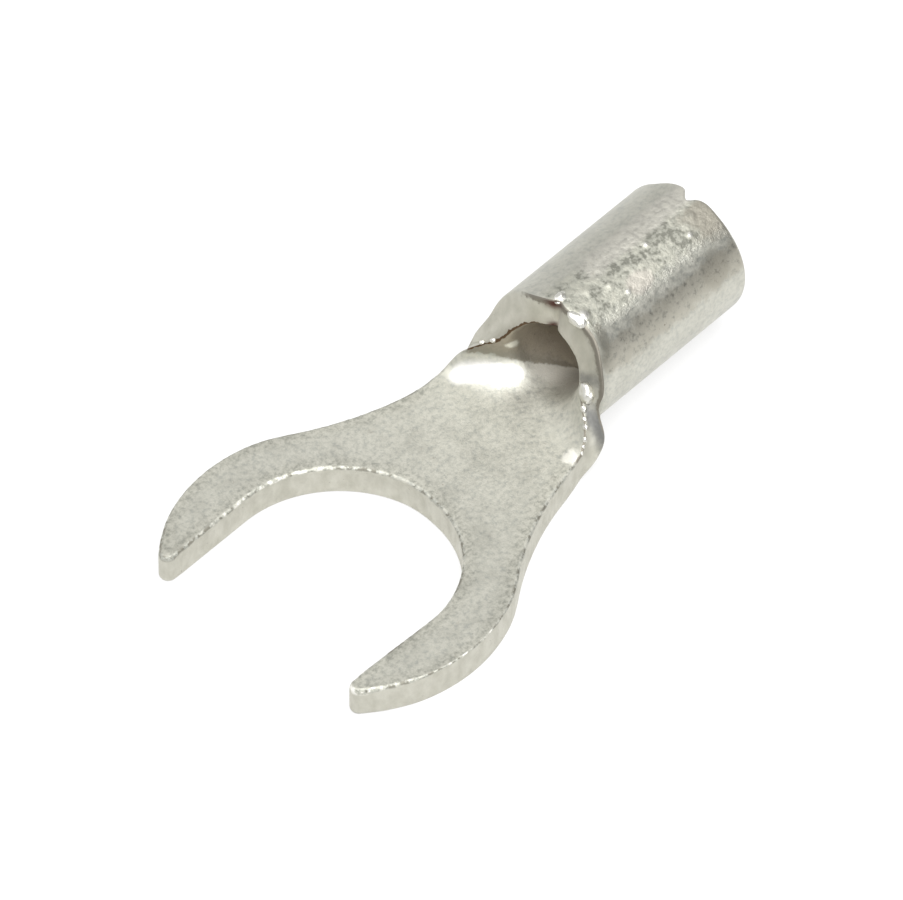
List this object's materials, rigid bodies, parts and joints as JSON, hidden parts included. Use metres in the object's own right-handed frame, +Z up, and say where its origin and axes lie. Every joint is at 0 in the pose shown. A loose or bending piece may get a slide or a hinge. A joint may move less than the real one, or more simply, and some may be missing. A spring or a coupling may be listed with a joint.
{
  "type": "fork terminal",
  "caption": "Bare crimp fork terminal stamped from tinned sheet: open round fork for a screw stud, waisted neck, curled trough and rolled wire barrel with a brazed seam.",
  "frame": {"origin": "centre of the stud slot's round end, on the underside that the terminal lies on", "axes": "+X from the fork towards the wire end along the barrel, +Z up out of the flat tongue, Y across the tines"},
  "size_m": [0.0139, 0.0076, 0.0033],
  "materials": {
    "tinned_copper": "satin tin plating with fine mottling, bright worn edges"
  },
  "bodies": {
    "root": {"fork_terminal": "tinned_copper"}
  },
  "joints": []
}
